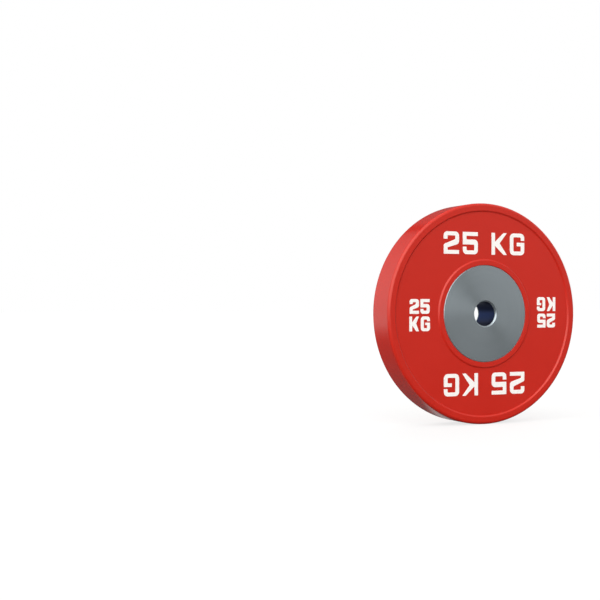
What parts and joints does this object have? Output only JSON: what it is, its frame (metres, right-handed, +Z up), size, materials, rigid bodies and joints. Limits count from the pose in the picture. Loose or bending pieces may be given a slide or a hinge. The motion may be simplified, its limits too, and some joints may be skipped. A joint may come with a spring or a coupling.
{
  "type": "bumper plate",
  "caption": "Round rubber bumper plate with a raised rim band, a recessed panel, a wide flat steel hub disc on each face and a plain bore for a barbell sleeve.",
  "frame": {"origin": "centre of the bore, halfway through the plate's thickness", "axes": "+Y along the bore, from the front face to the rear face with the screws; +Z up, as the plate stands on its rim in the picture; the front face looks towards -Y"},
  "size_m": [0.45, 0.067, 0.45],
  "materials": {
    "tyre_rubber": "satin",
    "disc_steel": "satin",
    "sleeve_steel": "polished",
    "core_steel": "matte",
    "screw_steel": "satin",
    "trim_steel": "matte"
  },
  "bodies": {
    "root": {"rubber_body": "tyre_rubber", "hub_core": "core_steel", "bore_sleeve": "sleeve_steel", "front_hub_disc": "disc_steel", "rear_hub_disc": "disc_steel", "hub_screw_1": "screw_steel", "hub_screw_2": "screw_steel", "hub_screw_3": "screw_steel", "hub_screw_4": "screw_steel", "hub_screw_5": "screw_steel", "hub_screw_6": "screw_steel", "hub_screw_7": "screw_steel", "hub_screw_8": "screw_steel", "trim_weight_1": "trim_steel", "trim_weight_2": "trim_steel", "trim_weight_3": "trim_steel", "trim_weight_4": "trim_steel", "trim_weight_5": "trim_steel", "trim_weight_6": "trim_steel", "trim_weight_7": "trim_steel", "trim_weight_8": "trim_steel"}
  },
  "joints": []
}
